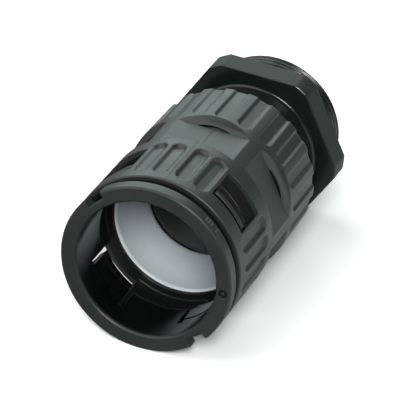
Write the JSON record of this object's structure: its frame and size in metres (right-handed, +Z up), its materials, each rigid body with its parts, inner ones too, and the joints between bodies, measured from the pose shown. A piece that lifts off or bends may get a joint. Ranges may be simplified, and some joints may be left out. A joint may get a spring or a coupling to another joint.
{
  "type": "liquidtight conduit connector",
  "caption": "Straight plastic connector that clamps and seals corrugated conduit at one end and screws into a box wall with its threaded hexagon end.",
  "frame": {"origin": "under the middle of the length, on the surface that the connector lies on", "axes": "+Y along the connector's axis from the conduit mouth to the mounting thread, +Z up, +X to the right of someone who looks into the mouth"},
  "size_m": [0.0464, 0.0848, 0.0434],
  "materials": {
    "hub_plastic": "moulded, lightly textured",
    "barrel_plastic": "moulded, satin",
    "ring_plastic": "moulded, satin",
    "seal_elastomer": "smooth, slightly glossy"
  },
  "bodies": {
    "hub": {"threaded_hub": "hub_plastic"},
    "seal": {"seal_ring": "seal_elastomer"},
    "barrel": {"barrel": "barrel_plastic"},
    "ring": {"lock_ring": "ring_plastic"}
  },
  "joints": [
    {"name": "barrel_travel", "type": "slide", "parent": "hub", "child": "seal", "axis": [0, -1, 0], "range_m": [0, 0.011]},
    {"name": "barrel_turn", "type": "hinge", "parent": "seal", "child": "barrel", "pos_m": [0, 0, 0.0217], "axis": [0, -1, 0], "range_deg": [0, 1980]},
    {"name": "ring_push", "type": "slide", "parent": "barrel", "child": "ring", "axis": [0, 1, 0], "range_m": [0, 0.0027]}
  ],
  "couplings": [
    {"joint": "barrel_travel", "follows": "barrel_turn", "m_per_rad": 0.00031831}
  ]
}
